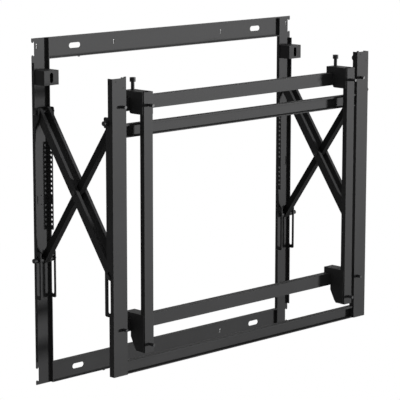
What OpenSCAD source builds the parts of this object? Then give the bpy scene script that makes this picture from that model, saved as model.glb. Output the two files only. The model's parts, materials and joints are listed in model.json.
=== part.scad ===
// Pop-out mount for one screen of a tiled display wall.
// X runs along the wall, Y runs into the wall and Z is up.
// The origin lies on the wall plane, in the middle of the four wall slots.

/* [Wall frame] */
// Width across the outer faces of the two posts
frame_w = 634; // [600:1:760]
// Height of the wall frame
frame_h = 598; // [580:1:680]
// Sheet thickness of the wall frame
wall_sheet = 1.6; // [1.2:0.1:2]
// Width of each post
post_w = 34; // [33:0.5:42]
// Depth of the posts and cross plates from the wall
post_d = 7; // [6:0.5:8]
// Height of each cross plate
plate_h = 36; // [32:1:44]
// Bend radius on the lower edge of each cross plate
plate_bend = 5; // [3:0.5:6]
// Length of each cut in a post's outer flange, from the post's end
post_relief = 41; // [30:1:60]
// Height of the notch in each end of a post
end_notch_h = 24; // [14:1:26]
// Depth of the notch in each end of a post
end_notch_d = 6; // [3:0.5:7]
// Distance between the wall slots along the wall
wall_slot_x = 443.6; // [380:0.2:480]
// Distance from the frame's top and bottom edges in to the wall slots
wall_slot_in = 17.6; // [14:0.1:22]
// Length of each wall slot
wall_slot_l = 26.4; // [16:0.2:34]
// Width of each wall slot
wall_slot_w = 9.3; // [6:0.1:11]
// Distance from the middle to each sighting slit
slit_x = 132; // [90:0.5:170]
// Length of each sighting slit
slit_l = 8.4; // [5:0.2:12]
// Width of each sighting slit
slit_w = 3; // [1.5:0.1:3.4]

/* [Marking strip on the posts] */
// Top of the deeper strip on a post's inner flange
strip_top = 122.5; // [110:0.5:140]
// Bottom of the deeper strip
strip_low = -29.5; // [-50:0.5:-28]
// Depth of the strip from the wall
strip_d = 12.7; // [11:0.1:14]
// Diameter of the holes in the strip
strip_hole_d = 4.2; // [2:0.1:4.6]
// Distance between the holes
strip_pitch = 8.2; // [7:0.1:10]
// Distance from the snap tab's middle to the nearest hole
strip_first = 10.5; // [9:0.1:14]
// Distance from the wall to the holes
strip_hole_y = 8.9; // [8.5:0.1:9.5]
// Height of the snap tab in a post's web
snap_h = 17; // [10:1:24]
// Middle height of the snap tab
snap_z = 23.3; // [0:0.1:60]
// Width of the groove round the snap tab
snap_cut = 2; // [1.5:0.1:3]
// Depth of the groove round the snap tab
snap_deep = 0.9; // [0.5:0.1:1]

/* [Scissor arms] */
// Distance from the wall to the axis of the wall pivots
wall_axis = 9.5; // [9.5:0.1:11.5]
// Distance from the channels' front face back to the front pivots
front_axis = 11.1; // [10.9:0.1:13]
// Drop from the latches to the upper pivots
pivot_drop = 59; // [56:0.5:62]
// Length of each arm, from pin to pin
arm_len = 310; // [298:1:316]
// Width of an outer arm, across both of its bars
outer_arm_w = 25; // [24.2:0.1:25.4]
// Thickness of each bar of an outer arm
outer_bar_t = 5.8; // [5:0.1:6.2]
// Depth of the outer arm's bars
outer_bar_d = 15.5; // [13:0.5:15.5]
// Clearance between the inner arm and the outer arm's bars
arm_gap = 0.5; // [0.3:0.1:1]
// Depth of the inner arm
inner_arm_d = 11.6; // [9:0.2:13]
// Radius of the inner arm's rounded ends
inner_eye_r = 6.5; // [5.5:0.1:7.5]
// Diameter of the pivot and slide pins
pin_d = 6.4; // [5:0.1:6.8]
// Radial clearance of a pin that turns in its hole
run_fit = 0.05; // [0.03:0.01:0.09]
// Radial clearance of a pin that slides in its slot
slot_fit = 0.2; // [0.1:0.05:0.3]
// Diameter of the pin heads
head_d = 8; // [7.2:0.1:8.4]
// Thickness of the heads of the wall pivots and front slide pins
head_t = 3; // [2:0.1:6]
// Distance that the front pivot pins stand out of their outer ears
pivot_out = 10; // [4:0.5:12]
// Distance that the wall slide pins stand out of their outer ears
slide_out = 9.5; // [4:0.5:15]
// Distance that a pin stands out of its inner ear
pin_in = 4.4; // [2.8:0.1:6]
// Thickness of the clips on the slide pins
clip_t = 1.2; // [0.8:0.1:2]
// Outer diameter of the washers and spacers
spacer_d = 10; // [8.5:0.1:10.5]
// End play on each side of a washer, spacer or head
side_play = 0.15; // [0.1:0.01:0.2]
// Reach of a post's ear round its pin axis
ear_r = 7.5; // [7:0.1:8]
// Reach of a channel's ears behind their pin axis
front_ear = 10.1; // [7.5:0.1:10.5]
// Height of the slotted ears above the resting slide pin
ear_over = 14.4; // [10:0.1:15]
// Metal left below each slot
ear_under = 6; // [4:0.2:9]
// Spare slot length past the slide pin at each end of its travel
slot_spare = 4; // [2:0.2:5]
// Gap between the front frame and the latch boxes when folded
fold_gap = 3; // [1:0.5:5]

/* [Latches] */
// Distance that a latch box stands out from the wall
box_d = 31.4; // [28:0.2:34]
// Width of a latch box
box_w = 31.6; // [31:0.1:32.4]
// Height of a latch box
box_h = 24.6; // [23:0.2:27]
// Sheet thickness of a latch box
box_sheet = 2; // [1.2:0.1:2.4]
// Distance from the frame's top edge down to the latches
latch_in = 65; // [64.5:0.5:69]
// Width of the slot in a latch box
box_slot_w = 7; // [5.5:0.1:9]
// Height of the slot in a latch box
box_slot_h = 17.4; // [15:0.2:18]
// Thickness of a latch tongue
tongue_t = 2.5; // [2:0.1:3]
// Height of a latch tongue
tongue_h = 11; // [9:0.2:13]
// Distance that a tongue reaches into its box when folded
tongue_reach = 12; // [11:0.2:16]
// Gap between a folded tongue and each spring jaw
jaw_gap = 0.9; // [0.8:0.05:1.2]

/* [Front frame] */
// Distance from the wall to the channels' front face, pulled out
pull_out = 199; // [185:0.5:205]
// Width of each front channel
channel_w = 30.5; // [30:0.1:32]
// Depth of each front channel
channel_d = 11; // [10:0.1:11.5]
// Extra depth of the channels' outer flanges between their ears
flange_more = 5.6; // [0:0.1:6]
// Sheet thickness of the front channels and bars
front_sheet = 2; // [1.5:0.1:2.2]
// Rise of the front channels above the latches
channel_rise = 13; // [13:0.5:24]
// Distance from the frame's bottom edge up to the front channels
channel_up = 51; // [43:0.5:59]
// Height of the two cross bars
bar_h = 22; // [18:0.5:26]
// Depth of the two cross bars
bar_d = 11; // [8:0.2:12]
// Height of the lip on the bars' upper edge
bar_lip = 3.4; // [2.5:0.1:6]
// Drop from the front pivots to the top of the upper bar
bar_drop = 4.3; // [4.3:0.1:11]

/* [Screen rails] */
// Height of each rail
rail_h = 22; // [20:0.1:22.6]
// Depth of each rail
rail_d = 13.1; // [12:0.1:15]
// Wall thickness of the rails
rail_wall = 1.5; // [1.2:0.1:2]
// Drop from the latches to the middle of the upper rail
rail_drop = 33.7; // [31:0.1:35]
// Rise from the channels' bottom to the middle of the lower rail
rail_rise = 78.1; // [73:0.1:79]
// Gap between the rails and the channels with the depth fully out
depth_room = 4.1; // [3:0.1:5]
// Distance that the rails' front walls end short of the front frame's sides
rail_short = 12; // [8:0.5:13]
// Travel of the rails' depth setting
depth_travel = 3; // [1:0.5:3]
// Distance from a channel's middle in to its depth screw
depth_screw_x = 6.3; // [5:0.1:8]
// Diameter of the depth screws
depth_screw_d = 5; // [4:0.1:6]
// Distance that a depth screw stands out of its channel
depth_screw_out = 9; // [4:0.5:12]

/* [Screen uprights] */
// Distance between the screen studs along the wall
screen_x = 500; // [400:1:516]
// Distance between the screen studs up the wall
screen_z = 400; // [392:1:404]
// Middle height of the screen studs
screen_mid = 1; // [-2:0.5:3]
// Width of each screen upright
upright_w = 19.5; // [17:0.1:22]
// Depth of each screen upright
upright_d = 9.8; // [9.2:0.1:12]
// Sheet thickness of the screen uprights
upright_sheet = 1.5; // [1.2:0.1:2]
// Distance from the wall to the uprights' front face
upright_y = 214.2; // [212:0.2:218]
// Sheet thickness of the hangers and lower brackets
hook_sheet = 2; // [1.6:0.1:2.4]
// Clearance between a hook and its rail
hook_gap = 0.3; // [0.3:0.05:0.6]
// Rise of a hanger's top above its rail
hanger_rise = 11.2; // [10:0.1:12]
// Drop of a hanger's front lobe below its rail
hanger_drop = 3.9; // [3:0.1:8]
// Corner radius of a hanger's front lobe
hanger_r = 4; // [2:0.5:5]
// Reach of a hanger's rear leg below the top of its rail
leg_drop = 8.5; // [7:0.1:10]
// Rise of a lower bracket's top above its rail
bracket_rise = 10.1; // [8:0.1:14]
// Drop of a lower bracket below its rail
bracket_drop = 31.5; // [24:0.1:36]
// Travel of the height setting
lift_travel = 4; // [2:0.5:4]
// Diameter of the screen studs
stud_d = 5; // [4:0.1:6]
// Distance that the screen studs stand out
stud_out = 12; // [6:0.5:16]
// Width of the collar that a stud has in the upright's sheet
stud_collar = 0.5; // [0.3:0.1:1]

/* [Height screws] */
// Diameter of a height screw
lift_d = 6; // [5:0.1:7]
// Diameter of a height screw's head
lift_head_d = 10; // [9:0.1:14]
// Thickness of a height screw's head
lift_head_t = 7; // [5:0.1:9]
// Height from a hanger's top to the screw's head
lift_up = 13.7; // [8:0.1:18]
// Thickness of the glide pad under a height screw
glide_t = 2.6; // [2:0.1:3.5]
// Clearance round a glide pad
glide_gap = 0.2; // [0.1:0.05:0.3]

/* [Hidden] */
eps = 0.01;
small = 32;
post_x = (frame_w - post_w) / 2;
latch_z = frame_h / 2 - latch_in;
pivot_z = latch_z - pivot_drop;
channel_top = latch_z + channel_rise;
channel_low = frame_h / 2 - channel_up;
bar_top = pivot_z - bar_drop;
rail_up = latch_z - rail_drop;
rail_low = rail_rise - channel_low;
wall_slot_z = frame_h - 2 * wall_slot_in;
nub_top_x = post_x - 83;
nub_low_x = post_x - 134;
post_in = post_w / 2 - wall_sheet;
channel_in = channel_w / 2 - front_sheet;
plate_mid = (frame_h - plate_h) / 2;
front_y = -pull_out;
channel_rear = front_y + channel_d;
wall_y = -wall_axis;
pin_front_y = front_y + front_axis;
span = wall_y - pin_front_y;
arm_drop = sqrt(pow(arm_len, 2) - pow(span, 2));
slide_z = pivot_z - arm_drop;
travel = -box_d - fold_gap - channel_rear;
folded_span = span - travel;
folded_drop = sqrt(pow(arm_len, 2) - pow(folded_span, 2));
folded_z = pivot_z - folded_drop;
mid_y = (wall_y + pin_front_y) / 2;
mid_z = (pivot_z + slide_z) / 2;
pin_r = pin_d / 2;
inner_arm_w = outer_arm_w - 2 * outer_bar_t - 2 * arm_gap;
slot_r = pin_r + slot_fit;
slot_top = slide_z + slot_r + slot_spare - slot_fit;
slot_low = folded_z - slot_r - slot_spare + slot_fit;
ear_top = max(slide_z + ear_over, slot_top + 2);
ear_low = slot_low - ear_under;
rail_front = channel_rear + depth_room + depth_travel;
rail_rear = rail_front + rail_d;
rail_end = post_x + channel_w / 2 - rail_short;
tube_end = post_x - depth_screw_x - depth_screw_d / 2 - 2.2;
upper_top = rail_up + rail_h / 2;
upper_low = rail_up - rail_h / 2;
lower_top = rail_low + rail_h / 2;
lower_low = rail_low - rail_h / 2;
up_front = -upright_y;
up_in = up_front + upright_sheet;
up_rear = up_front + upright_d;
hook_in = upright_w / 2;
hook_w = upright_w + 2 * hook_sheet;
hook_front = rail_front - hook_gap;
hook_rear = rail_rear + hook_gap;
hook_back = hook_rear + hook_sheet;
hook_play = 0.5;
hanger_top = upper_top + hanger_rise;
hanger_low = upper_low - hanger_drop;
bracket_low = lower_low - bracket_drop;
upright_top = max(hanger_top, screen_mid + screen_z / 2 + 8);
upright_low = min(bracket_low - 0.8, screen_mid - screen_z / 2 - 8);
leg_low = lift_travel + 0.6;
lift_y = rail_front + rail_d / 2 - 2.4;
glide_top = upper_top + glide_gap / 2 + glide_t;

// Left pieces are drawn as they lie; right pieces are their mirror images.
module on_side(side) {
    if (side < 0)
        children();
    else
        mirror([1, 0, 0]) children();
}

// A flat outline in Y and Z, thickened along X from x0 to x1.
module slab(x0, x1) {
    translate([x0, 0, 0])
        rotate([90, 0, 90]) linear_extrude(x1 - x0) children();
}

// A round bar along X from x0 to x1.
module x_bar(r, x0, x1) {
    translate([x0, 0, 0])
        rotate([0, 90, 0]) cylinder(r = r, h = x1 - x0, $fn = 48);
}

// A round bar along Y from y0 to y1.
module y_bar(r, y0, y1) {
    translate([0, y1, 0])
        rotate([90, 0, 0]) cylinder(r = r, h = y1 - y0, $fn = 48);
}

module box(x0, x1, y0, y1, z0, z1) {
    translate([x0, y0, z0]) cube([x1 - x0, y1 - y0, z1 - z0]);
}

module x_ring(r_in, r_out, x0, x1) {
    difference() {
        x_bar(r_out, x0, x1);
        x_bar(r_in, x0 - 1, x1 + 1);
    }
}

// The outline of a slot along Z.
module slot_outline(r, y, z0, z1) {
    translate([y, z0 + r]) circle(r, $fn = 48);
    translate([y, z1 - r]) circle(r, $fn = 48);
    translate([y - r, z0 + r]) square([2 * r, z1 - z0 - 2 * r]);
}

// The outline of a bar between two points, with a rounded end on each.
module link_outline(p, q, half, eye) {
    len = norm(q - p);
    translate(p) circle(eye, $fn = 64);
    translate(q) circle(eye, $fn = 64);
    translate(p) rotate(atan2(q[1] - p[1], q[0] - p[0]))
        translate([0, -half]) square([len, 2 * half]);
}

// A slot along X with round ends, for a wall bolt.
module wall_slot(x, z) {
    half = (wall_slot_l - wall_slot_w) / 2;
    translate([x, 0, z]) {
        for (end = [-half, half])
            translate([end, 0, 0]) y_bar(wall_slot_w / 2, -wall_sheet - 1, 1);
        box(-half, half, -wall_sheet - 1, 1, -wall_slot_w / 2, wall_slot_w / 2);
    }
}

// The section of a cross plate, with its lower edge bent round.
module plate_outline() {
    half = plate_h / 2;
    inner = plate_bend - wall_sheet;
    translate([-wall_sheet, plate_bend - half]) square([wall_sheet, plate_h - plate_bend]);
    translate([-post_d, half - wall_sheet]) square([post_d, wall_sheet]);
    translate([-post_d, -half]) square([post_d - plate_bend, wall_sheet]);
    intersection() {
        translate([-plate_bend, plate_bend - half]) difference() {
            circle(plate_bend, $fn = 64);
            if (inner > 0) circle(inner, $fn = 64);
        }
        translate([-plate_bend, -half]) square(plate_bend);
    }
}

// A sighting mark: a narrow slit with a round hole above it.
module sight_mark(x, z) {
    box(x - slit_w / 3, x + slit_w / 3, -wall_sheet - 1, 1, z - slit_l / 2, z + slit_l / 2 - slit_w - 0.6);
    translate([x, 0, z + slit_l / 2 - slit_w / 2]) y_bar(slit_w / 2, -wall_sheet - 1, 1);
}

module wall_plate(z, slit_side, nub_x) {
    color("#2b2b2d") difference() {
        translate([0, 0, z]) union() {
            slab(post_w / 2 - post_x, post_x - post_w / 2) plate_outline();
            box(nub_x - 2, nub_x + 2, -post_d, wall_sheet - post_d,
                -plate_h / 2 - 1.2, wall_sheet - plate_h / 2);
        }
        for (x = [-wall_slot_x / 2, wall_slot_x / 2])
            wall_slot(x, sign(z) * wall_slot_z / 2);
        for (x = slit_side)
            sight_mark(x * slit_x, z + sign(z) * 0.4);
    }
}

module wall_plate_top() {
    wall_plate(plate_mid, [-1, 1], -nub_top_x);
}

module wall_plate_bottom() {
    wall_plate(-plate_mid, [1], -nub_low_x);
}

// An ear that carries a pivot pin, tapering back into its flange.
module wall_ear_outline() {
    rounded_outline(wall_y - ear_r, 0, pivot_z - ear_r - 4, pivot_z + ear_r, 3);
    polygon([
        [-wall_sheet, pivot_z], [wall_y - ear_r, pivot_z],
        [wall_y - ear_r, pivot_z - 9], [-post_d, pivot_z - 24], [-wall_sheet, pivot_z - 24]
    ]);
}

module rounded_outline(y0, y1, z0, z1, r) {
    translate([y0 + r, z0]) square([y1 - y0 - r, z1 - z0]);
    translate([y0, z0 + r]) square([r + eps, z1 - z0 - 2 * r]);
    translate([y0 + r, z0 + r]) circle(r, $fn = small);
    translate([y0 + r, z1 - r]) circle(r, $fn = small);
}

module post_flange_outline(outer) {
    half = frame_h / 2 - (outer ? post_relief : 0);
    difference() {
        union() {
            translate([-post_d, -half]) square([post_d, 2 * half]);
            wall_ear_outline();
            rounded_outline(wall_y - ear_r, 0, ear_low, ear_top, 3);
            if (!outer)
                rounded_outline(-strip_d, 0, strip_low, strip_top, 1.5);
        }
        translate([wall_y, pivot_z]) circle(pin_r + run_fit, $fn = 48);
        slot_outline(slot_r, wall_y, slot_low, slot_top);
        if (!outer) {
            for (z = [snap_z + strip_first : strip_pitch : strip_top - 3])
                translate([-strip_hole_y, z]) circle(strip_hole_d / 2, $fn = 24);
            for (z = [snap_z - strip_first : -strip_pitch : strip_low + 3])
                translate([-strip_hole_y, z]) circle(strip_hole_d / 2, $fn = 24);
        }
    }
}

module wall_post(side) {
    half = frame_h / 2;
    color("#2b2b2d") on_side(side) translate([-post_x, 0, 0]) {
        difference() {
            box(-post_w / 2, post_w / 2, -wall_sheet, 0, -half, half);
            for (s = [-1, 1])
                box(-post_w / 2 - 1, end_notch_d - post_w / 2, -wall_sheet - 1, 1,
                    s * plate_mid - end_notch_h / 2, s * plate_mid + end_notch_h / 2);
            sight_mark(end_notch_d + 4.5 - post_w / 2, plate_mid + 4.4);
            box(-10, -10 + snap_cut, -wall_sheet - 1, snap_deep - wall_sheet,
                snap_z - snap_h / 2, snap_z + snap_h / 2);
            for (s = [-1, 1])
                box(-10, 0, -wall_sheet - 1, snap_deep - wall_sheet,
                    snap_z + s * (snap_h - snap_cut) / 2 - snap_cut / 2,
                    snap_z + s * (snap_h - snap_cut) / 2 + snap_cut / 2);
        }
        for (s = [-1, 1], t = [-1, 1])
            translate([2 - post_w / 2, 0, s * plate_mid + t * end_notch_h / 2])
                y_bar(1.6, -wall_sheet, 0);
        slab(-post_w / 2, -post_in) difference() {
            post_flange_outline(true);
            translate([-wall_sheet, -frame_h]) square([wall_sheet + 1, 2 * frame_h]);
        }
        slab(post_in, post_w / 2) difference() {
            post_flange_outline(false);
            translate([-wall_sheet, -frame_h]) square([wall_sheet + 1, 2 * frame_h]);
        }
    }
}

module wall_post_left() {
    wall_post(-1);
}

module wall_post_right() {
    wall_post(1);
}

// A box on the post that the latch tongue enters through a slot.
module latch_box(side) {
    foot = post_in - 0.1;
    step_y = -post_d - 0.3;
    color("#262628") on_side(side) translate([-post_x, 0, latch_z]) difference() {
        union() {
            box(-box_w / 2, box_w / 2, -box_d, step_y, -box_h / 2, box_h / 2);
            box(-foot, foot, step_y - eps, -wall_sheet, -box_h / 2, box_h / 2);
        }
        box(box_sheet - foot, foot - box_sheet, step_y - box_sheet - 1, 1,
            box_sheet - box_h / 2, box_h / 2 - box_sheet);
        box(box_sheet - box_w / 2, box_w / 2 - box_sheet, box_sheet - box_d, step_y - box_sheet,
            box_sheet - box_h / 2, box_h / 2 - box_sheet);
        box(-box_slot_w / 2, box_slot_w / 2, -box_d - 1, box_sheet + 1 - box_d,
            (box_slot_w - box_slot_h) / 2, (box_slot_h - box_slot_w) / 2);
        for (s = [-1, 1])
            translate([0, 0, s * (box_slot_h - box_slot_w) / 2])
                y_bar(box_slot_w / 2, -box_d - 1, box_sheet + 1 - box_d);
    }
}

module latch_box_left() {
    latch_box(-1);
}

module latch_box_right() {
    latch_box(1);
}

// A spring clip inside the box, whose two jaws grip the tongue.
module latch_jaws(side) {
    inner = tongue_t / 2 + jaw_gap;
    high = tongue_h / 2;
    tip_y = 3.5 + box_sheet - box_d;
    color("#77777a") on_side(side) translate([-post_x, 0, latch_z]) {
        box(-inner - 3, inner + 3, -wall_sheet - 1, -wall_sheet, -high, high);
        for (s = [-1, 1]) {
            box(s * (inner + 2.5) - 0.5, s * (inner + 2.5) + 0.5, tip_y + 2.5, -wall_sheet - 1 + eps, -high, high);
            slab(s * (inner + 1.5) - 1.5, s * (inner + 1.5) + 1.5)
                translate([tip_y, -high]) square([2.5, 2 * high]);
        }
    }
}

module latch_jaws_left() {
    latch_jaws(-1);
}

module latch_jaws_right() {
    latch_jaws(1);
}

// A pin across a pair of ears, with its head on the outer side.
module headed_pin(half_out, half_in, head) {
    x_bar(pin_r, -half_out - side_play - eps, half_in + side_play + pin_in);
    x_bar(head_d / 2, -half_out - side_play - head, -half_out - side_play);
}

module wall_pivot_bolts() {
    color("#1d1d1f") for (side = [-1, 1]) on_side(side)
        translate([-post_x, wall_y, pivot_z])
            headed_pin(post_w / 2, post_w / 2, head_t);
}

module wall_pivot_nuts() {
    color("#1d1d1f") for (side = [-1, 1]) on_side(side)
        translate([-post_x, wall_y, pivot_z])
            x_ring(pin_r, head_d / 2 + 0.4, post_w / 2 + side_play, post_w / 2 + side_play + 3);
}

// Two parallel bars from the wall pivot down to the front slide pin.
module outer_arm(side) {
    color("#2e2e30") on_side(side) for (s = [-1, 1])
        slab(s * (outer_arm_w - outer_bar_t) / 2 - outer_bar_t / 2 - post_x,
             s * (outer_arm_w - outer_bar_t) / 2 + outer_bar_t / 2 - post_x)
            difference() {
                link_outline([wall_y, pivot_z], [pin_front_y, slide_z],
                    outer_bar_d / 2, outer_bar_d / 2);
                translate([wall_y, pivot_z]) circle(pin_r + run_fit, $fn = 48);
                translate([mid_y, mid_z]) circle(pin_r + run_fit, $fn = 48);
                translate([pin_front_y, slide_z]) circle(pin_r + eps, $fn = 48);
            }
}

module outer_arm_left() {
    outer_arm(-1);
}

module outer_arm_right() {
    outer_arm(1);
}

// Washers that keep an outer arm off the ears at both of its ends.
module arm_washers(side) {
    color("#1d1d1f") on_side(side) translate([-post_x, 0, 0]) for (s = [-1, 1]) {
        translate([0, wall_y, pivot_z]) on_side(s)
            x_ring(pin_r + run_fit, spacer_d / 2, side_play - post_in, -outer_arm_w / 2);
        if (channel_in - outer_arm_w / 2 > 2 * side_play)
            translate([0, pin_front_y, slide_z]) on_side(s)
                x_ring(pin_r + eps, spacer_d / 2, side_play - channel_in, -outer_arm_w / 2);
    }
}

module arm_washers_left() {
    arm_washers(-1);
}

module arm_washers_right() {
    arm_washers(1);
}

// The rivet on which the two arms of a scissor turn.
module centre_pin(side) {
    cap = min(1.2, channel_in - outer_arm_w / 2 + 0.8);
    color("#1d1d1f") on_side(side) translate([-post_x, mid_y, mid_z]) {
        x_bar(pin_r, -outer_arm_w / 2 - eps, outer_arm_w / 2 + eps);
        x_bar(head_d / 2, -outer_arm_w / 2 - cap, -outer_arm_w / 2);
        x_bar(head_d / 2, outer_arm_w / 2, outer_arm_w / 2 + cap);
    }
}

module centre_pin_left() {
    centre_pin(-1);
}

module centre_pin_right() {
    centre_pin(1);
}

module front_slide_pin(side) {
    color("#1d1d1f") on_side(side) translate([-post_x, pin_front_y, slide_z])
        headed_pin(channel_w / 2, channel_w / 2, head_t);
}

module front_slide_pin_left() {
    front_slide_pin(-1);
}

module front_slide_pin_right() {
    front_slide_pin(1);
}

module slide_clip(half) {
    x_ring(pin_r, head_d / 2 + 0.6, half + side_play, half + side_play + clip_t);
}

module front_slide_clip(side) {
    color("#3a3a3c") on_side(side)
        translate([-post_x, pin_front_y, slide_z]) slide_clip(channel_w / 2);
}

module front_slide_clip_left() {
    front_slide_clip(-1);
}

module front_slide_clip_right() {
    front_slide_clip(1);
}

// One bar between the outer arm's bars, from the front pivot down to the wall slide pin.
module inner_arm(side) {
    color("#2e2e30") on_side(side)
        slab(-inner_arm_w / 2 - post_x, inner_arm_w / 2 - post_x) difference() {
            link_outline([pin_front_y, pivot_z], [wall_y, slide_z], inner_arm_d / 2, inner_eye_r);
            translate([pin_front_y, pivot_z]) circle(pin_r + run_fit, $fn = 48);
            translate([mid_y, mid_z]) circle(pin_r + run_fit, $fn = 48);
            translate([wall_y, slide_z]) circle(pin_r + eps, $fn = 48);
        }
}

module inner_arm_left() {
    inner_arm(-1);
}

module inner_arm_right() {
    inner_arm(1);
}

module wall_slide_pin(side) {
    color("#1d1d1f") on_side(side) translate([-post_x, wall_y, slide_z])
        headed_pin(post_w / 2, post_w / 2, slide_out);
}

module wall_slide_pin_left() {
    wall_slide_pin(-1);
}

module wall_slide_pin_right() {
    wall_slide_pin(1);
}

module wall_slide_clip(side) {
    color("#3a3a3c") on_side(side)
        translate([-post_x, wall_y, slide_z]) slide_clip(post_w / 2);
}

module wall_slide_clip_left() {
    wall_slide_clip(-1);
}

module wall_slide_clip_right() {
    wall_slide_clip(1);
}

// Tubes that centre the inner arm between the post's ears.
module wall_slide_spacers(side) {
    color("#1d1d1f") on_side(side) translate([-post_x, wall_y, slide_z]) for (s = [-1, 1])
        on_side(s) x_ring(pin_r + eps, spacer_d / 2, side_play - post_in, -inner_arm_w / 2);
}

module wall_slide_spacers_left() {
    wall_slide_spacers(-1);
}

module wall_slide_spacers_right() {
    wall_slide_spacers(1);
}

// One side flange of a front channel, made deeper between its two ears by the
// length given.
module channel_flange_outline(extra) {
    ear_back = pin_front_y + front_ear;
    difference() {
        union() {
            translate([front_y, -channel_low]) square([channel_d, channel_top + channel_low]);
            mirror([1, 0]) rounded_outline(-ear_back, 1 - channel_rear, pivot_z - 9, pivot_z + 9, 3);
            mirror([1, 0]) rounded_outline(-ear_back, 1 - channel_rear, ear_low, ear_top, 3);
            if (extra > 0)
                translate([front_y, ear_top - 3])
                    square([channel_d + extra, pivot_z - 6 - ear_top + 3]);
        }
        translate([pin_front_y, pivot_z]) circle(pin_r + run_fit, $fn = 48);
        slot_outline(slot_r, pin_front_y, slot_low, slot_top);
        translate([front_y - 1, -channel_low - 1])
            square([front_sheet + 1, channel_top + channel_low + 2]);
    }
}

module front_channel(side) {
    web_y = front_y + front_sheet;
    color("#323234") {
        on_side(side) translate([-post_x, 0, 0]) {
            slab(-channel_w / 2, -channel_in) channel_flange_outline(flange_more);
            slab(channel_in, channel_w / 2) channel_flange_outline(0);
            box(channel_w / 2 - 4, channel_w / 2, front_y, web_y, channel_top - eps, channel_top + 2);
        }
        difference() {
            translate([side * post_x, 0, 0])
                box(-channel_w / 2, channel_w / 2, front_y, web_y, -channel_low, channel_top);
            on_side(side) for (z = [rail_up, rail_low])
                translate([depth_screw_x - post_x, 0, z])
                    y_bar(depth_screw_d / 2 + run_fit, front_y - 1, web_y + 1);
            for (s = [-1, 1])
                translate([side * post_x + 8 * s, 0, channel_top - 10.3 - 5.8 * s])
                    y_bar(1.3, front_y - 1, front_y + 0.5);
        }
    }
}

module front_channel_left() {
    front_channel(-1);
}

module front_channel_right() {
    front_channel(1);
}

// A bar between the channels, open to the front, with a lip on its upper flange.
// Its web laps the rear of the channels by the length given.
module front_bar(top, lap) {
    half = post_x - channel_w / 2;
    rear_y = channel_rear + front_sheet;
    front_edge = rear_y - bar_d;
    color("#323234") {
        slab(-half - lap, half + lap)
            translate([rear_y - front_sheet, top - bar_h]) square([front_sheet, bar_h]);
        slab(-half, half) {
            translate([front_edge, top - front_sheet]) square([bar_d, front_sheet]);
            translate([front_edge, top - bar_h]) square([bar_d, front_sheet]);
            translate([front_edge, top - bar_lip]) square([1.5, bar_lip]);
        }
    }
}

module front_bar_upper() {
    front_bar(bar_top, 0);
}

module front_bar_lower() {
    front_bar(bar_h - channel_low, channel_w - 4);
}

module front_pivot_pins() {
    color("#1d1d1f") for (side = [-1, 1]) on_side(side)
        translate([-post_x, pin_front_y, pivot_z])
            headed_pin(channel_w / 2, channel_w / 2, pivot_out);
}

module front_pivot_clips() {
    color("#3a3a3c") for (side = [-1, 1]) on_side(side)
        translate([-post_x, pin_front_y, pivot_z])
            x_ring(pin_r, head_d / 2, channel_w / 2 + side_play, channel_w / 2 + side_play + clip_t);
}

// Tubes that centre the inner arms between the channels' ears.
module front_pivot_spacers() {
    color("#1d1d1f") for (side = [-1, 1]) on_side(side)
        translate([-post_x, pin_front_y, pivot_z]) for (s = [-1, 1]) on_side(s)
            x_ring(pin_r + eps, spacer_d / 2, -channel_in, -inner_arm_w / 2 - side_play);
}

// A tongue on the channel that enters the latch box.
module latch_tongue(side) {
    tip_y = channel_rear + fold_gap + tongue_reach;
    root_y = front_y + front_sheet;
    half = tongue_h / 2;
    color("#323234") on_side(side) translate([-post_x, 0, latch_z]) {
        slab(-tongue_t / 2, tongue_t / 2) {
            translate([root_y, -half]) square([tip_y - half - root_y, 2 * half]);
            translate([tip_y - half, 0]) circle(half, $fn = 64);
        }
        box(-tongue_t / 2 - 4, tongue_t / 2 + 4, root_y, root_y + tongue_t, -half, half);
    }
}

module latch_tongue_left() {
    latch_tongue(-1);
}

module latch_tongue_right() {
    latch_tongue(1);
}

// A square tube whose front wall runs on behind the channels to the depth screws.
module rail(z) {
    color("#303032") difference() {
        union() {
            box(-tube_end, tube_end, rail_front, rail_rear, z - rail_h / 2, z + rail_h / 2);
            box(-rail_end, rail_end, rail_front, rail_front + rail_wall,
                z - rail_h / 2 + 1, z + rail_h / 2 - 1);
        }
        box(-tube_end - 1, tube_end + 1, rail_front + rail_wall, rail_rear - rail_wall,
            z - rail_h / 2 + rail_wall, z + rail_h / 2 - rail_wall);
        for (side = [-1, 1])
            translate([side * (post_x - depth_screw_x), 0, z])
                y_bar(depth_screw_d / 2 - 0.5 + run_fit, rail_front - 1, rail_front + rail_wall + 1);
    }
}

module rail_upper() {
    rail(rail_up);
}

module rail_lower() {
    rail(rail_low);
}

// A screw held in the rail's front wall that runs in the channel's thread.
module depth_screw(side, z) {
    r = depth_screw_d / 2;
    play = 0.1;
    color("#4a4a4d") translate([side * (post_x - depth_screw_x), 0, z]) {
        y_bar(r, front_y - depth_screw_out, rail_front - play);
        y_bar(r + 2, rail_front - play - 2.5, rail_front - play);
        y_bar(r - 0.5, rail_front - play - eps, rail_front + rail_wall + play + eps);
        y_bar(r + 1, rail_front + rail_wall + play, rail_front + rail_wall + play + 2);
    }
}

module depth_screw_upper_left() {
    depth_screw(-1, rail_up);
}

module depth_screw_upper_right() {
    depth_screw(1, rail_up);
}

module depth_screw_lower_left() {
    depth_screw(-1, rail_low);
}

module depth_screw_lower_right() {
    depth_screw(1, rail_low);
}

// A nylon pad on the rail's top that carries the height screw's tip.
module glide(side) {
    half_x = hook_in - glide_gap;
    low = upper_top + glide_gap / 2;
    color("#3b3b3d") translate([side * screen_x / 2, lift_y, 0]) difference() {
        box(-half_x, half_x, -3.9, 4.5, low, low + glide_t);
        translate([0, 0, glide_top - 0.8]) cylinder(d = lift_d - 1 + 0.2, h = 2, $fn = 48);
    }
}

module glide_left() {
    glide(-1);
}

module glide_right() {
    glide(1);
}

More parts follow.
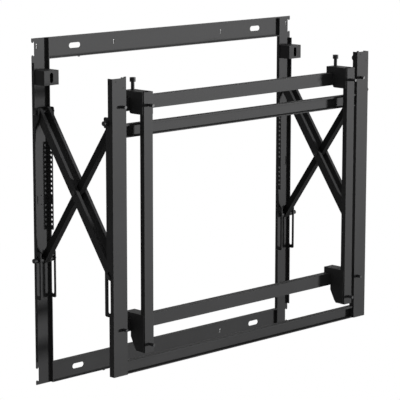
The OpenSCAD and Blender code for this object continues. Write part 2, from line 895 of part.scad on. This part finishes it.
module lift_screw(side) {
    head_z = hanger_top + lift_up;
    tip_z = glide_top - 0.8 + 0.1;
    color("#1d1d1f") translate([side * screen_x / 2, lift_y, 0]) difference() {
        union() {
            translate([0, 0, tip_z]) cylinder(d = lift_d - 1, h = 1.2, $fn = 48);
            translate([0, 0, tip_z + 1]) cylinder(d = lift_d, h = head_z - tip_z, $fn = 48);
            translate([0, 0, head_z]) cylinder(d = lift_head_d, h = lift_head_t, $fn = 64);
        }
        translate([0, 0, head_z + lift_head_t - 3]) cylinder(r = 2.9, h = 4, $fn = 6);
    }
}

module lift_screw_left() {
    lift_screw(-1);
}

module lift_screw_right() {
    lift_screw(1);
}

// The side outline of a hanger, hooked over the upper rail.
module hanger_outline() {
    polygon(concat(
        [[up_in, hanger_top], [hook_back, hanger_top], [hook_back, upper_top - leg_drop],
         [hook_rear, upper_top - leg_drop], [hook_rear, upper_top + hook_play],
         [hook_front, upper_top + hook_play]],
        [for (a = [0 : 15 : 90])
            [hook_front - hanger_r + hanger_r * cos(a), hanger_low + hanger_r - hanger_r * sin(a)]],
        [[up_in, hanger_low]]
    ));
}

module hanger(side) {
    color("#2b2b2d") translate([side * screen_x / 2, 0, 0]) difference() {
        union() {
            slab(-hook_w / 2, -hook_in) hanger_outline();
            slab(hook_in, hook_w / 2) hanger_outline();
            box(-hook_w / 2, hook_w / 2, up_rear, hook_back, hanger_top - hook_sheet, hanger_top);
            box(-hook_w / 2, hook_w / 2, hook_rear, hook_back, upper_top - leg_drop, hanger_top);
        }
        translate([0, lift_y, hanger_top - hook_sheet - 1])
            cylinder(d = lift_d + 2 * run_fit, h = hook_sheet + 2, $fn = 48);
    }
}

module hanger_left() {
    hanger(-1);
}

module hanger_right() {
    hanger(1);
}

module display_upright(side) {
    half = upright_w / 2;
    color("#343436") translate([side * screen_x / 2, 0, 0]) {
        difference() {
            box(-half, half, up_front, up_in, upright_low, upright_top);
            for (s = [-1, 1])
                translate([0, 0, screen_mid + s * screen_z / 2])
                    y_bar(stud_d / 2 + stud_collar + eps, up_front - 1, up_in + 1);
        }
        for (s = [-1, 1]) on_side(s)
            box(-half, upright_sheet - half, up_in - eps, up_rear, upright_low, upright_top);
    }
}

module display_upright_left() {
    display_upright(-1);
}

module display_upright_right() {
    display_upright(1);
}

// The side outline of a lower bracket, which straddles the lower rail.
module bracket_outline() {
    top = lower_top + bracket_rise;
    polygon([
        [hook_back, lower_top - leg_low], [hook_back, top], [up_in, top], [up_in, bracket_low],
        [rail_front - 14, bracket_low], [hook_front - 10, bracket_low + 4.5],
        [hook_front, lower_low - 8.5], [hook_front, lower_top + hook_play],
        [hook_rear, lower_top + hook_play], [hook_rear, lower_top - leg_low]
    ]);
}

module lower_bracket(side) {
    top = lower_top + bracket_rise;
    color("#2b2b2d") translate([side * screen_x / 2, 0, 0]) {
        slab(-hook_w / 2, -hook_in) bracket_outline();
        slab(hook_in, hook_w / 2) bracket_outline();
        box(-hook_w / 2, hook_w / 2, hook_rear, hook_back, lower_top - leg_low, top);
        box(-hook_w / 2, hook_w / 2, up_rear, hook_back, top - hook_sheet, top);
        box(-hook_w / 2, hook_w / 2, up_rear, rail_front - 14, bracket_low, bracket_low + hook_sheet);
    }
}

module lower_bracket_left() {
    lower_bracket(-1);
}

module lower_bracket_right() {
    lower_bracket(1);
}

// Two studs that stand out of an upright, for the screen's threaded holes.
module display_studs(side) {
    r = stud_d / 2;
    color("#4a4a4d") translate([side * screen_x / 2, 0, screen_mid]) for (s = [-1, 1])
        translate([0, 0, s * screen_z / 2]) {
            y_bar(r, up_front - stud_out, up_front + eps);
            y_bar(r + stud_collar, up_front, up_in + eps);
            y_bar(r + stud_collar + 1.3, up_in, up_in + 2.5);
        }
}

module display_studs_left() {
    display_studs(-1);
}

module display_studs_right() {
    display_studs(1);
}

wall_plate_top();
wall_plate_bottom();
wall_post_left();
wall_post_right();
latch_box_left();
latch_box_right();
latch_jaws_left();
latch_jaws_right();
wall_pivot_bolts();
wall_pivot_nuts();
outer_arm_left();
outer_arm_right();
arm_washers_left();
arm_washers_right();
centre_pin_left();
centre_pin_right();
front_slide_pin_left();
front_slide_pin_right();
front_slide_clip_left();
front_slide_clip_right();
inner_arm_left();
inner_arm_right();
wall_slide_pin_left();
wall_slide_pin_right();
wall_slide_clip_left();
wall_slide_clip_right();
wall_slide_spacers_left();
wall_slide_spacers_right();
front_channel_left();
front_channel_right();
front_bar_upper();
front_bar_lower();
front_pivot_pins();
front_pivot_clips();
front_pivot_spacers();
latch_tongue_left();
latch_tongue_right();
rail_upper();
rail_lower();
depth_screw_upper_left();
depth_screw_upper_right();
depth_screw_lower_left();
depth_screw_lower_right();
glide_left();
glide_right();
lift_screw_left();
lift_screw_right();
hanger_left();
hanger_right();
display_upright_left();
display_upright_right();
lower_bracket_left();
lower_bracket_right();
display_studs_left();
display_studs_right();
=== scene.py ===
# %% [markdown]
# A pop-out mount for one screen of a video wall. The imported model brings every
# sheet, arm, pin and screw at its real size, in metres. This lesson gives them the
# looks of the photograph: folded sheet with soft bends, satin black powder coat,
# blackened steel pins, and threads on the screws.
# The frame is loaded first, because every later step measures it.

# %% Load the frame
import json
import math
import bmesh
import bpy
from mathutils import Matrix, Vector


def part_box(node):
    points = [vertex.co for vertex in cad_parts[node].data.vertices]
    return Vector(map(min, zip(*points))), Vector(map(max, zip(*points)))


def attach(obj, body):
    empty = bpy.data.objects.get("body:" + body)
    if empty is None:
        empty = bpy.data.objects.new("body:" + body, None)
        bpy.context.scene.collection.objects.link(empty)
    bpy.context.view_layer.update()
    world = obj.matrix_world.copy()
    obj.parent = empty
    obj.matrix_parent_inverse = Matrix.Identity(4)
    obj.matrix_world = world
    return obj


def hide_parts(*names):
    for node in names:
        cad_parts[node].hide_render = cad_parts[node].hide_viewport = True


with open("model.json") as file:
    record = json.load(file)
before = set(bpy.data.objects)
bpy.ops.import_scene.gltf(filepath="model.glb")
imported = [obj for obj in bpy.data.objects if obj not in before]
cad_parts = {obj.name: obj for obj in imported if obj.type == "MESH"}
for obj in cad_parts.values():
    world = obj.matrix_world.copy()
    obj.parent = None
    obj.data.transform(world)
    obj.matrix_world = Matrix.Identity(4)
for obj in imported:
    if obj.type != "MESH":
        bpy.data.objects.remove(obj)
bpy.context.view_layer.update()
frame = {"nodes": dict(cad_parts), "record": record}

body_of = {n: b for b, ns in frame["record"]["behaviour"]["bodies"].items() for n in ns}
slot_of = {p["node"]: p["material_slot"] for p in frame["record"]["subparts"]}

# %% [markdown]
# The camera stands where the photograph was taken: about 3.6 m away, to the left and
# slightly above, with a long lens that hardly bends the frame's lines. The photograph's
# centre isn't the mount's centre, so the camera looks at a point beside the origin.

# %% Camera
CAMERA_AT = Vector((-2.4213, -2.5307, 0.6189))
CAMERA_RIGHT = Vector((0.71135, -0.70284, 0.00082))
CAMERA_UP = Vector((0.12465, 0.12731, 0.98400))
LENS_MM = 177.03

camera_data = bpy.data.cameras.new("photo_camera")
camera_data.sensor_width = 36
camera_data.lens = LENS_MM
camera_data.clip_end = 60
camera = bpy.data.objects.new("photo_camera", camera_data)
bpy.context.scene.collection.objects.link(camera)
right = CAMERA_RIGHT.normalized()
back = right.cross(CAMERA_UP).normalized()
up = back.cross(right)
turn = Matrix((right, up, back)).transposed().to_4x4()
camera.matrix_world = Matrix.Translation(CAMERA_AT) @ turn
bpy.context.scene.camera = camera
print("camera looks along", [round(v, 3) for v in -back])

# %% [markdown]
# In the photograph every front face has the same grey at the same height, twice as
# bright at the top as at the bottom, on both sides and at both depths. So the main
# lamp is a distant soft spot at the front right, aimed above the mount: its cone fades
# downward. The posts' inner flanges shade their webs, and the left faces turn away
# from the lamp, so that only a dim even room lights them. The white background is
# only what the camera and mirror-like rays see: it adds no light to matt surfaces.

# %% World
ROOM = 0.12


def seen_directly(tree):
    """1 for rays that come from the camera, a mirror-like surface or a clear one."""
    path = tree.nodes.new("ShaderNodeLightPath")
    value = path.outputs["Is Camera Ray"]
    for kind in ("Is Glossy Ray", "Is Transmission Ray"):
        most = tree.nodes.new("ShaderNodeMath")
        most.operation = "MAXIMUM"
        tree.links.new(value, most.inputs[0])
        tree.links.new(path.outputs[kind], most.inputs[1])
        value = most.outputs[0]
    return value


world = bpy.data.worlds.new("studio")
bpy.context.scene.world = world
world.use_nodes = True
sky = world.node_tree
sky.nodes.clear()
room = sky.nodes.new("ShaderNodeBackground")
room.inputs["Color"].default_value = (1, 1, 1, 1)
room.inputs["Strength"].default_value = ROOM
white = sky.nodes.new("ShaderNodeBackground")
white.inputs["Color"].default_value = (1, 1, 1, 1)
white.inputs["Strength"].default_value = 1.0
pick = sky.nodes.new("ShaderNodeMixShader")
out = sky.nodes.new("ShaderNodeOutputWorld")
sky.links.new(seen_directly(sky), pick.inputs["Fac"])
sky.links.new(room.outputs[0], pick.inputs[1])
sky.links.new(white.outputs[0], pick.inputs[2])
sky.links.new(pick.outputs[0], out.inputs["Surface"])
print("room strength", room.inputs["Strength"].default_value)


# %% Lamps
def make_lamp(name, kind, place, aim, watts):
    data = bpy.data.lights.new(name, kind)
    data.energy = watts
    lamp = bpy.data.objects.new(name, data)
    lamp.location = place
    lamp.rotation_mode = "QUATERNION"
    lamp.rotation_quaternion = (Vector(aim) - Vector(place)).to_track_quat("-Z", "Y")
    bpy.context.scene.collection.objects.link(lamp)
    return lamp


KEY_AT = (9.14, -9.34, 0.05)
KEY_AIM = (-8.1, -0.1, 16.0)
KEY_WATTS = 35800
KEY_CONE = math.radians(98.5)
KEY_SIZE = 1.0

key = make_lamp("key_spot", "SPOT", KEY_AT, KEY_AIM, KEY_WATTS)
key.data.spot_size = KEY_CONE
key.data.spot_blend = 1.0
key.data.shadow_soft_size = KEY_SIZE
print("lamp", key.data.energy)

# %% [markdown]
# The floor is plain and lies well below the mount, which hangs at shoulder height. The
# camera sees it white. To the light it is a mid grey, so that it throws little light
# up on the undersides, which are dark in the photograph.

# %% Floor
FLOOR_Z = -1.3
FLOOR_HALF = 6.0
FLOOR_GREY = (0.25, 0.25, 0.25, 1)


def make_floor():
    mesh = bpy.data.meshes.new("studio_floor")
    corners = [(x * FLOOR_HALF, y * FLOOR_HALF, FLOOR_Z)
               for x, y in ((-1, -1), (1, -1), (1, 1), (-1, 1))]
    mesh.from_pydata(corners, [], [(0, 1, 2, 3)])
    floor = bpy.data.objects.new("studio_floor", mesh)
    bpy.context.scene.collection.objects.link(floor)
    paint = bpy.data.materials.new("floor_paint")
    paint.use_nodes = True
    tree = paint.node_tree
    tree.nodes.clear()
    matt = tree.nodes.new("ShaderNodeBsdfDiffuse")
    matt.inputs["Color"].default_value = FLOOR_GREY
    glow = tree.nodes.new("ShaderNodeEmission")
    glow.inputs["Color"].default_value = (1, 1, 1, 1)
    mix = tree.nodes.new("ShaderNodeMixShader")
    end = tree.nodes.new("ShaderNodeOutputMaterial")
    tree.links.new(seen_directly(tree), mix.inputs["Fac"])
    tree.links.new(matt.outputs[0], mix.inputs[1])
    tree.links.new(glow.outputs[0], mix.inputs[2])
    tree.links.new(mix.outputs[0], end.inputs["Surface"])
    mesh.materials.append(paint)
    return floor


floor = make_floor()
print("floor at", FLOOR_Z)

# %% [markdown]
# Several finishes share the same effects, so each effect is a node group, built once.
# Powder coat has a fine orange-peel grain and slow drifts in tone and gloss, where the
# powder lay thicker. Coated edges are a little paler, because the film pulls back from
# a sharp bend and handling polishes it. The edge group finds edges with a bevelled
# normal: where it differs from the real normal, an edge is near.


# %% Group helpers
def new_group(name, inputs, outputs):
    group = bpy.data.node_groups.new(name, "ShaderNodeTree")
    for label, kind, value in inputs:
        socket = group.interface.new_socket(name=label, in_out="INPUT", socket_type=kind)
        socket.default_value = value
    for label, kind in outputs:
        group.interface.new_socket(name=label, in_out="OUTPUT", socket_type=kind)
    start = group.nodes.new("NodeGroupInput")
    end = group.nodes.new("NodeGroupOutput")
    return group, start, end


def math_node(tree, operation, a, b=None, clamp=False):
    node = tree.nodes.new("ShaderNodeMath")
    node.operation = operation
    node.use_clamp = clamp
    for value, socket in zip((a, b), node.inputs):
        if value is None:
            continue
        if isinstance(value, (int, float)):
            socket.default_value = value
        else:
            tree.links.new(value, socket)
    return node.outputs[0]


# %% Grain group
def make_grain_group():
    group, start, end = new_group(
        "powder_grain",
        [("Grain Size", "NodeSocketFloat", 0.0011), ("Drift Size", "NodeSocketFloat", 0.12)],
        [("Height", "NodeSocketFloat"), ("Speckle", "NodeSocketFloat"), ("Drift", "NodeSocketFloat")])
    place = group.nodes.new("ShaderNodeTexCoord")
    fine = group.nodes.new("ShaderNodeTexNoise")
    slow = group.nodes.new("ShaderNodeTexNoise")
    fine.inputs["Detail"].default_value = 2.0
    slow.inputs["Detail"].default_value = 3.0
    for node, label in ((fine, "Grain Size"), (slow, "Drift Size")):
        group.links.new(place.outputs["Object"], node.inputs["Vector"])
        group.links.new(math_node(group, "DIVIDE", 1.0, start.outputs[label]), node.inputs["Scale"])
    group.links.new(fine.outputs["Fac"], end.inputs["Height"])
    group.links.new(math_node(group, "SUBTRACT", fine.outputs["Fac"], 0.5), end.inputs["Speckle"])
    group.links.new(math_node(group, "SUBTRACT", slow.outputs["Fac"], 0.5), end.inputs["Drift"])
    return group


grain_group = make_grain_group()
print("grain outputs", [s.name for s in grain_group.interface.items_tree if s.in_out == "OUTPUT"])


# %% Edge group
def make_edge_group():
    group, start, end = new_group(
        "edge_wear",
        [("Reach", "NodeSocketFloat", 0.0007), ("Amount", "NodeSocketFloat", 0.5)],
        [("Mask", "NodeSocketFloat")])
    soft = group.nodes.new("ShaderNodeBevel")
    soft.samples = 4
    true_normal = group.nodes.new("ShaderNodeNewGeometry")
    dot = group.nodes.new("ShaderNodeVectorMath")
    dot.operation = "DOT_PRODUCT"
    group.links.new(start.outputs["Reach"], soft.inputs["Radius"])
    group.links.new(soft.outputs["Normal"], dot.inputs[0])
    group.links.new(true_normal.outputs["Normal"], dot.inputs[1])
    turned = math_node(group, "SUBTRACT", 1.0, dot.outputs["Value"], clamp=True)
    strong = math_node(group, "MULTIPLY", turned, 6.0, clamp=True)
    place = group.nodes.new("ShaderNodeTexCoord")
    patches = group.nodes.new("ShaderNodeTexNoise")
    patches.inputs["Scale"].default_value = 60.0
    group.links.new(place.outputs["Object"], patches.inputs["Vector"])
    broken = math_node(group, "ADD", patches.outputs["Fac"], 0.35, clamp=True)
    worn = math_node(group, "MULTIPLY", strong, broken)
    group.links.new(math_node(group, "MULTIPLY", worn, start.outputs["Amount"]), end.inputs["Mask"])
    return group


edge_group = make_edge_group()
print("edge inputs", [s.name for s in edge_group.interface.items_tree if s.in_out == "INPUT"])

# %% [markdown]
# One function makes every finish from those two groups. What differs is written in
# each call: the base colour, the paler edge colour, the gloss, the grain and how deep
# it stands. The Principled BSDF stays in the material itself.


# %% Finish
def make_finish(name, base, edge, rough, metal=0.0, grain=0.0011, depth=0.00004, wear=0.5,
                drift=0.12, reach=0.0007, spread=0.10, sheen=0.04):
    finish = bpy.data.materials.new(name)
    finish.use_nodes = True
    tree = finish.node_tree
    tree.nodes.clear()
    coat = tree.nodes.new("ShaderNodeBsdfPrincipled")
    end = tree.nodes.new("ShaderNodeOutputMaterial")
    coat.inputs["Metallic"].default_value = metal
    coat.inputs["Specular IOR Level"].default_value = sheen
    tree.links.new(coat.outputs[0], end.inputs["Surface"])
    texture = tree.nodes.new("ShaderNodeGroup")
    texture.node_tree = grain_group
    texture.inputs["Grain Size"].default_value = grain
    texture.inputs["Drift Size"].default_value = drift
    edges = tree.nodes.new("ShaderNodeGroup")
    edges.node_tree = edge_group
    edges.inputs["Reach"].default_value = reach
    edges.inputs["Amount"].default_value = wear
    tone = tree.nodes.new("ShaderNodeMix")
    tone.data_type = "RGBA"
    tone.inputs[6].default_value = (*base, 1)
    tone.inputs[7].default_value = (*[min(1, 1.6 * c) for c in base], 1)
    blotch = math_node(tree, "MULTIPLY", texture.outputs["Drift"], 0.9)
    tree.links.new(math_node(tree, "ADD", blotch, 0.3, clamp=True), tone.inputs[0])
    rim = tree.nodes.new("ShaderNodeMix")
    rim.data_type = "RGBA"
    rim.inputs[7].default_value = (*edge, 1)
    tree.links.new(edges.outputs["Mask"], rim.inputs[0])
    tree.links.new(tone.outputs[2], rim.inputs[6])
    tree.links.new(rim.outputs[2], coat.inputs["Base Color"])
    speckle = math_node(tree, "MULTIPLY", texture.outputs["Speckle"], spread)
    gloss = math_node(tree, "ADD", speckle, rough)
    slow = math_node(tree, "MULTIPLY", texture.outputs["Drift"], 0.12)
    tree.links.new(math_node(tree, "ADD", gloss, slow, clamp=True), coat.inputs["Roughness"])
    bump = tree.nodes.new("ShaderNodeBump")
    bump.inputs["Strength"].default_value = 0.5
    bump.inputs["Distance"].default_value = depth
    tree.links.new(texture.outputs["Height"], bump.inputs["Height"])
    tree.links.new(bump.outputs["Normal"], coat.inputs["Normal"])
    return finish


finishes = {
    "black_powder_coat": make_finish(
        "satin_black_powder", (0.066, 0.066, 0.067), (0.11, 0.11, 0.112), 0.5),
    "blackened_steel": make_finish(
        "blackened_steel", (0.030, 0.030, 0.031), (0.12, 0.12, 0.122), 0.42,
        grain=0.0006, depth=0.00002, wear=0.6, drift=0.02, reach=0.0004, sheen=0.12),
    "dark_zinc": make_finish(
        "dark_zinc", (0.036, 0.036, 0.038), (0.16, 0.16, 0.165), 0.38,
        grain=0.0008, depth=0.00002, wear=0.6, drift=0.03, reach=0.0004, sheen=0.15),
    "black_nylon": make_finish(
        "black_nylon", (0.028, 0.028, 0.030), (0.05, 0.05, 0.052), 0.58,
        grain=0.0009, depth=0.00003, wear=0.3, drift=0.03, reach=0.0005),
}
# The arms and latch boxes get darker copies of the powder coat. This darkness is painted shade,
# deepest on the inner arms, whose faces lie in shade. They stay in the powder coat's slot.
painted_shade_copies = {
    "outer_arm": make_finish("powder_outer_arms_painted_shade", (0.06, 0.06, 0.061), (0.09, 0.09, 0.092), 0.5),
    "inner_arm": make_finish("powder_inner_arms_painted_shade", (0.007, 0.007, 0.0073), (0.02, 0.02, 0.021), 0.55),
    "latch_box": make_finish("powder_latch_boxes_painted_shade", (0.053, 0.053, 0.054), (0.085, 0.085, 0.087), 0.5),
}


def finish_of(node):
    # Arms and latch boxes take the darker copies, which carry painted shade.
    for start, finish in painted_shade_copies.items():
        if node.startswith(start):
            return finish
    return finishes[slot_of[node]]


print("finishes", sorted(finishes), "painted_shade_copies", sorted(painted_shade_copies))

# %% [markdown]
# Folded sheet has no knife edges: every cut edge and bend is slightly round, and that
# thin curve is what catches the light as a bright line in the photograph. Each sheet
# piece is copied from the model, its triangles are joined back into flat faces, and a
# narrow Bevel rounds its edges. The copy then stands for the original.

# %% Soft sheet edges
SHEET_NODES = {
    0.00065: ["front_channel_left", "front_channel_right", "front_bar_upper", "front_bar_lower",
              "rail_upper", "rail_lower", "wall_post_left", "wall_post_right"],
    0.0006: ["wall_plate_top", "wall_plate_bottom", "latch_box_left", "latch_box_right",
             "outer_arm_left", "outer_arm_right", "inner_arm_left", "inner_arm_right"],
    0.0005: ["hanger_left", "hanger_right", "display_upright_left", "display_upright_right",
             "lower_bracket_left", "lower_bracket_right", "latch_tongue_left", "latch_tongue_right",
             "glide_left", "glide_right"],
    0.0004: ["wall_pivot_bolts", "wall_pivot_nuts", "centre_pin_left", "centre_pin_right",
             "front_slide_pin_left", "front_slide_pin_right", "wall_slide_pin_left",
             "wall_slide_pin_right", "front_pivot_pins"],
}


def plain_mesh(source, name):
    """The evaluated object as a new object with no modifiers."""
    graph = bpy.context.evaluated_depsgraph_get()
    mesh = bpy.data.meshes.new_from_object(source.evaluated_get(graph))
    made = bpy.data.objects.new(name, mesh)
    bpy.context.scene.collection.objects.link(made)
    return made


def soften(node, width):
    mesh = frame["nodes"][node].data.copy()
    shape = bmesh.new()
    shape.from_mesh(mesh)
    bmesh.ops.remove_doubles(shape, verts=shape.verts, dist=0.000002)
    bmesh.ops.dissolve_limit(shape, angle_limit=math.radians(0.5), verts=shape.verts, edges=shape.edges)
    shape.to_mesh(mesh)
    shape.free()
    mesh.materials.clear()
    for face in mesh.polygons:
        face.use_smooth = True
    rough = bpy.data.objects.new(node + "_rough", mesh)
    bpy.context.scene.collection.objects.link(rough)
    bevel = rough.modifiers.new("round", "BEVEL")
    bevel.width = width
    bevel.segments = 2
    bevel.limit_method = "ANGLE"
    bevel.angle_limit = math.radians(32)
    even = rough.modifiers.new("even", "WEIGHTED_NORMAL")
    even.mode = "FACE_AREA"
    even.weight = 100
    piece = plain_mesh(rough, node + ".soft")
    bpy.data.objects.remove(rough)
    piece.data.materials.clear()
    piece.data.materials.append(finish_of(node))
    for face in piece.data.polygons:
        face.material_index = 0
    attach(piece, body_of[node])
    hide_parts(node)
    return piece


softened = {node: soften(node, width) for width, nodes in SHEET_NODES.items() for node in nodes}
print("softened", len(softened), "most faces", max(len(p.data.polygons) for p in softened.values()))

# %% [markdown]
# The small turned pieces keep their model shapes and only get their finish. A node's
# mesh is never changed: the finish goes into its object's material slots.

# %% Finish the other nodes
for node, piece in frame["nodes"].items():
    if node in softened:
        continue
    if not piece.data.materials:
        piece.data.materials.append(None)
    for place in piece.material_slots:
        place.link = "OBJECT"
        place.material = finishes[slot_of[node]]
print("kept", len(frame["nodes"]) - len(softened))

# %% [markdown]
# Screw threads repeat at a fixed pitch, which is work for Geometry Nodes. The tree
# puts one small six-sided ring at each turn along Z, from the named length and pitch,
# and realizes them. There is one tree for each metal: its inputs are set for each
# screw, and the result is turned to the screw's own axis and joined into one plain
# mesh for each body.


# %% Thread tree
def make_thread_tree(finish):
    tree = bpy.data.node_groups.new("thread_rings", "GeometryNodeTree")
    for label, value in (("Radius", 0.0025), ("Pitch", 0.0008), ("Length", 0.01), ("Height", 0.0003)):
        socket = tree.interface.new_socket(name=label, in_out="INPUT", socket_type="NodeSocketFloat")
        socket.default_value = value
    tree.interface.new_socket(name="Geometry", in_out="OUTPUT", socket_type="NodeSocketGeometry")
    add = tree.nodes.new
    start, end = add("NodeGroupInput"), add("NodeGroupOutput")
    turns = add("ShaderNodeMath")
    turns.operation = "DIVIDE"
    count = add("FunctionNodeFloatToInt")
    step = add("ShaderNodeCombineXYZ")
    line = add("GeometryNodeMeshLine")
    circle = add("GeometryNodeCurvePrimitiveCircle")
    circle.inputs["Resolution"].default_value = 28
    section = add("GeometryNodeCurvePrimitiveCircle")
    section.inputs["Resolution"].default_value = 6
    ring = add("GeometryNodeCurveToMesh")
    spread = add("GeometryNodeInstanceOnPoints")
    real = add("GeometryNodeRealizeInstances")
    paint = add("GeometryNodeSetMaterial")
    paint.inputs["Material"].default_value = finish
    link = tree.links.new
    link(start.outputs["Length"], turns.inputs[0])
    link(start.outputs["Pitch"], turns.inputs[1])
    link(turns.outputs[0], count.inputs[0])
    link(start.outputs["Pitch"], step.inputs["Z"])
    link(count.outputs[0], line.inputs["Count"])
    link(step.outputs[0], line.inputs["Offset"])
    link(start.outputs["Radius"], circle.inputs["Radius"])
    link(start.outputs["Height"], section.inputs["Radius"])
    link(circle.outputs[0], ring.inputs["Curve"])
    link(section.outputs[0], ring.inputs["Profile Curve"])
    link(line.outputs[0], spread.inputs["Points"])
    link(ring.outputs[0], spread.inputs["Instance"])
    link(spread.outputs[0], real.inputs[0])
    link(real.outputs[0], paint.inputs["Geometry"])
    link(paint.outputs[0], end.inputs["Geometry"])
    return tree


thread_trees = {slot: make_thread_tree(finishes[slot]) for slot in ("dark_zinc", "blackened_steel")}
print("thread inputs", [s.name for s in thread_trees["dark_zinc"].interface.items_tree][:5])


# %% Threads on the screws
RIDGE = 0.00022
STUD_RADIUS, STUD_PITCH = 0.0024, 0.0008
LIFT_RADIUS, LIFT_PITCH = 0.0029, 0.001
BARE_TIP = 0.0012
STUD_INSET = 0.0043
FACE_GAP = 0.0006


def thread_mesh(tree, place, **sizes):
    base = bpy.data.objects.new("thread_base", bpy.data.meshes.new("thread_base"))
    bpy.context.scene.collection.objects.link(base)
    nodes = base.modifiers.new("thread", "NODES")
    nodes.node_group = tree
    for socket in tree.interface.items_tree:
        if socket.in_out == "INPUT" and socket.name in sizes:
            nodes[socket.identifier] = sizes[socket.name]
    made = plain_mesh(base, "thread_part")
    bpy.data.objects.remove(base)
    made.data.transform(place)
    return made


def join_pieces(parts, name):
    shape = bmesh.new()
    materials = list(parts[0].data.materials)
    for part in parts:
        shape.from_mesh(part.data)
        bpy.data.objects.remove(part)
    mesh = bpy.data.meshes.new(name)
    shape.to_mesh(mesh)
    shape.free()
    for material in materials:
        mesh.materials.append(material)
    for face in mesh.polygons:
        face.use_smooth = True
    piece = bpy.data.objects.new(name, mesh)
    bpy.context.scene.collection.objects.link(piece)
    return piece


def thread_along(node, slot, axis, radius, pitch, spans):
    """Threads on one body: each span is its centre, low end and high end on the axis."""
    parts = []
    for centre, low, high in spans:
        turn = Matrix.Rotation(math.radians(90), 4, "X") if axis == "Y" else Matrix.Identity(4)
        start = Vector(centre)
        start["XYZ".index(axis)] = high if axis == "Y" else low
        parts.append(thread_mesh(thread_trees[slot], Matrix.Translation(start) @ turn,
                                 Radius=radius, Pitch=pitch, Length=high - low, Height=RIDGE))
    piece = join_pieces(parts, node + ".thread")
    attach(piece, body_of[node])
    return piece


threads = []
for side in ("left", "right"):
    low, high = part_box("display_studs_" + side)
    x = (low.x + high.x) / 2
    face_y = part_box("display_upright_" + side)[0].y
    spans = [((x, 0, z), low.y + BARE_TIP, face_y - FACE_GAP)
             for z in (low.z + STUD_INSET, high.z - STUD_INSET)]
    threads.append(thread_along("display_studs_" + side, "dark_zinc", "Y",
                                STUD_RADIUS, STUD_PITCH, spans))
    for level in ("upper", "lower"):
        node = "depth_screw_" + level + "_" + side
        low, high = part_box(node)
        face_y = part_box("front_channel_" + side)[0].y
        centre = ((low.x + high.x) / 2, 0, (low.z + high.z) / 2)
        threads.append(thread_along(node, "dark_zinc", "Y", STUD_RADIUS, STUD_PITCH,
                                    [(centre, low.y + BARE_TIP, face_y - FACE_GAP)]))
    low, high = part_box("lift_screw_" + side)
    top_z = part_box("hanger_" + side)[1].z
    centre = ((low.x + high.x) / 2, (low.y + high.y) / 2, 0)
    threads.append(thread_along("lift_screw_" + side, "blackened_steel", "Z", LIFT_RADIUS, LIFT_PITCH,
                                [(centre, top_z + 0.0005, high.z - 0.0075)]))
print("threaded pieces", len(threads), "faces", sum(len(t.data.polygons) for t in threads))

# %% [markdown]
# The last cell sets the colour view to Standard.

# %% Colour view
bpy.context.scene.view_settings.view_transform = "Standard"
